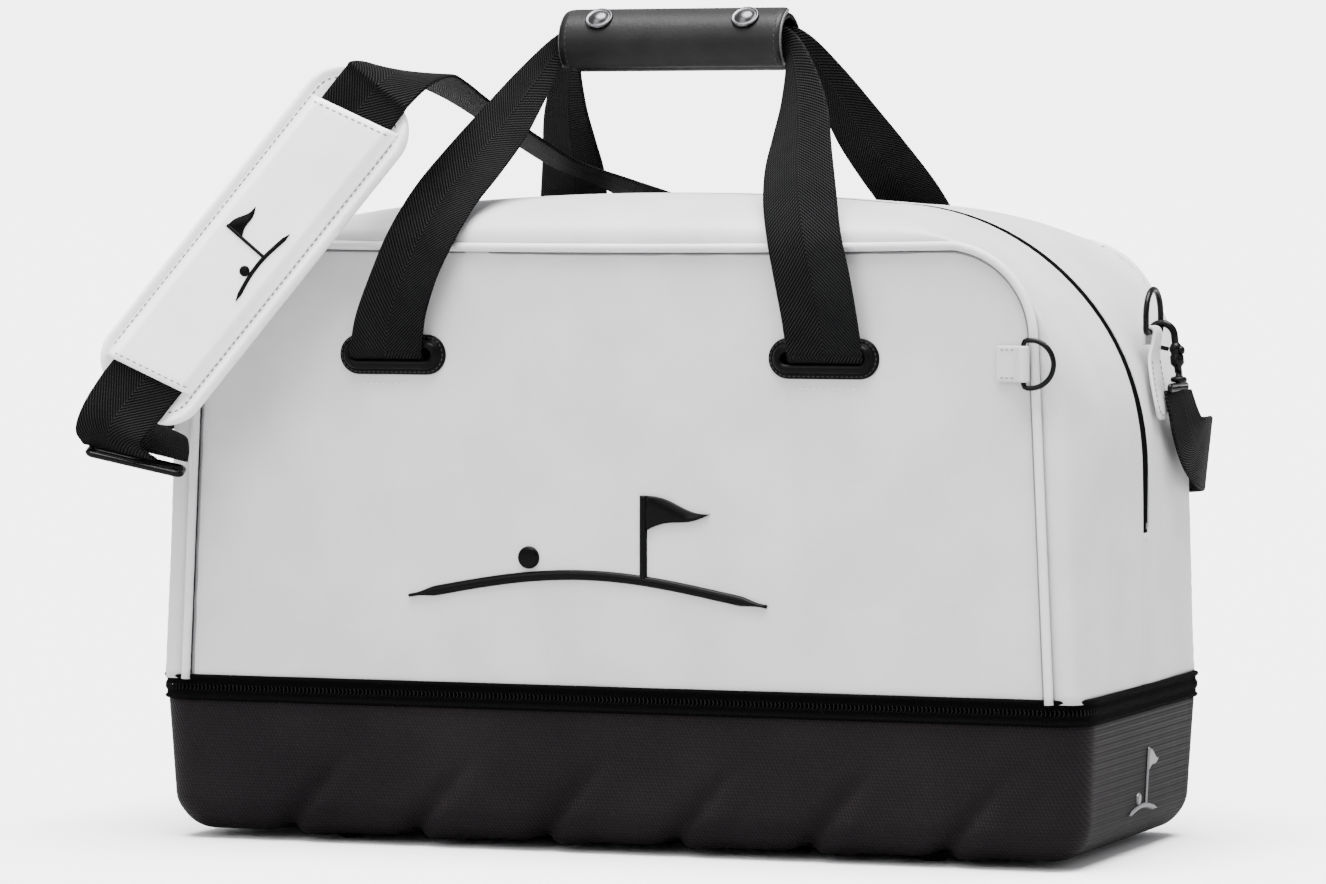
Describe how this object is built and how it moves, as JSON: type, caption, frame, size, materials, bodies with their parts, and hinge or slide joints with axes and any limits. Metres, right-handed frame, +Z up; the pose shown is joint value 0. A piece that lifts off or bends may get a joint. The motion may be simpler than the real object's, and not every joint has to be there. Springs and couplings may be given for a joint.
{
  "type": "golf shoe bag",
  "caption": "Soft travel bag with a hinged, moulded shoe tray, a wrapped twin-handle grip and a padded, hooked shoulder strap.",
  "frame": {"origin": "on the ground under the middle of the bag's tray, level with the undersides of the feet", "axes": "+X right along the front, +Y from front to back, +Z up"},
  "size_m": [0.5126, 0.2715, 0.4119],
  "materials": {
    "moulded_eva": "moulded foam with a fine woven face",
    "board": "stiffener board",
    "foot_rubber": "matte",
    "zip_tape": "woven tape",
    "zip_coil": "nylon coil",
    "white_leather": "satin synthetic leather",
    "eyelet": "semi gloss",
    "webbing": "herringbone webbing",
    "emblem_gloss": "gloss",
    "emblem_silver": "silver grey print",
    "black_metal": "gloss black",
    "grip_leather": "smooth satin leather",
    "snap_metal": "gunmetal"
  },
  "bodies": {
    "base": {"shell": "moulded_eva", "base_board": "board", "feet": "foot_rubber", "lower_zip_tape": "zip_tape", "lower_zip_coil": "zip_coil", "lower_hinge_tape": "zip_tape", "tray_emblem": "emblem_silver"},
    "upper_bag": {"upper_zip_tape": "zip_tape", "upper_zip_coil": "zip_coil", "upper_hinge_tape": "zip_tape", "divider_floor": "board", "gusset": "white_leather", "top_zip_tape": "zip_tape", "top_zip_coil": "zip_coil", "zip_end_stops": "black_metal", "front_panel": "white_leather", "back_panel": "white_leather", "front_piping": "white_leather", "back_piping": "white_leather", "front_grommets": "eyelet", "back_grommets": "eyelet", "front_webbing_tails": "webbing", "back_webbing_tails": "webbing", "front_emblem": "emblem_gloss", "front_ring_tab": "white_leather", "right_side_tab": "white_leather", "left_side_tab": "white_leather", "right_d_ring": "black_metal", "left_d_ring": "black_metal", "right_swivel": "black_metal", "left_swivel": "black_metal", "strap_long_run": "webbing", "strap_short_run": "webbing", "shoulder_pad": "white_leather", "pad_sleeve": "white_leather", "pad_emblem": "emblem_gloss", "adjuster": "black_metal", "adjuster_bar": "black_metal"},
    "front_handle": {"front_handle_webbing": "webbing", "grip_front": "grip_leather", "snap_studs": "snap_metal"},
    "back_handle": {"back_handle_webbing": "webbing", "grip_back": "grip_leather"},
    "flap": {"grip_flap": "grip_leather", "snap_caps": "snap_metal"},
    "front_ring": {"front_d_ring": "black_metal"},
    "right_hook": {"right_hook": "black_metal"},
    "right_gate": {"right_gate": "black_metal"},
    "left_hook": {"left_hook": "black_metal"},
    "left_gate": {"left_gate": "black_metal"},
    "top_slider": {"top_slider": "black_metal"},
    "top_pull": {"top_pull": "black_metal"},
    "base_slider": {"base_slider": "black_metal"},
    "base_pull": {"base_pull": "black_metal"}
  },
  "joints": [
    {"name": "tray_hinge", "type": "hinge", "parent": "base", "child": "upper_bag", "pos_m": [0, 0.1052, 0.0759], "axis": [-1, 0, 0], "range_deg": [0, 85]},
    {"name": "front_handle_fold", "type": "hinge", "parent": "upper_bag", "child": "front_handle", "pos_m": [0, -0.11, 0.2425], "axis": [1, 0, 0], "range_deg": [0, 150]},
    {"name": "back_handle_fold", "type": "hinge", "parent": "upper_bag", "child": "back_handle", "pos_m": [0, 0.11, 0.2425], "axis": [-1, 0, 0], "range_deg": [0, 140]},
    {"name": "flap_hinge", "type": "hinge", "parent": "back_handle", "child": "flap", "pos_m": [0, -0.0147, 0.3835], "axis": [1, 0, 0], "range_deg": [0, 105]},
    {"name": "front_ring_swing", "type": "hinge", "parent": "upper_bag", "child": "front_ring", "pos_m": [0.2115, -0.1105, 0.24], "axis": [0, 0, -1], "range_deg": [0, 140]},
    {"name": "right_hook_swivel", "type": "hinge", "parent": "upper_bag", "child": "right_hook", "pos_m": [0.2435, 0.043, 0.231], "axis": [0, 0, 1], "range_deg": [-6, 6]},
    {"name": "right_gate_spring", "type": "hinge", "parent": "right_hook", "child": "right_gate", "pos_m": [0.2397, 0.043, 0.2432], "axis": [0, 1, 0], "range_deg": [0, 20], "stiffness_Nm_per_rad": 0.02},
    {"name": "left_hook_swivel", "type": "hinge", "parent": "upper_bag", "child": "left_hook", "pos_m": [-0.2435, 0.043, 0.231], "axis": [0, 0, 1], "range_deg": [-6, 6]},
    {"name": "left_gate_spring", "type": "hinge", "parent": "left_hook", "child": "left_gate", "pos_m": [-0.2397, 0.043, 0.2432], "axis": [0, -1, 0], "range_deg": [0, 20], "stiffness_Nm_per_rad": 0.02},
    {"name": "top_slider_travel", "type": "slide", "parent": "upper_bag", "child": "top_slider", "axis": [0, 0, 1], "range_m": [0, 0.025]},
    {"name": "top_pull_swing", "type": "hinge", "parent": "top_slider", "child": "top_pull", "pos_m": [-0.2442, 0, 0.168], "axis": [0, 1, 0], "range_deg": [0, 110]},
    {"name": "base_slider_travel", "type": "slide", "parent": "base", "child": "base_slider", "axis": [0, -1, 0], "range_m": [0, 0.13]},
    {"name": "base_pull_swing", "type": "hinge", "parent": "base_slider", "child": "base_pull", "pos_m": [-0.2436, 0.068, 0.0759], "axis": [0, 0, 1], "range_deg": [0, 150]}
  ],
  "couplings": [
    {"joint": "flap_hinge", "follows": "front_handle_fold", "ratio": 0.7}
  ]
}
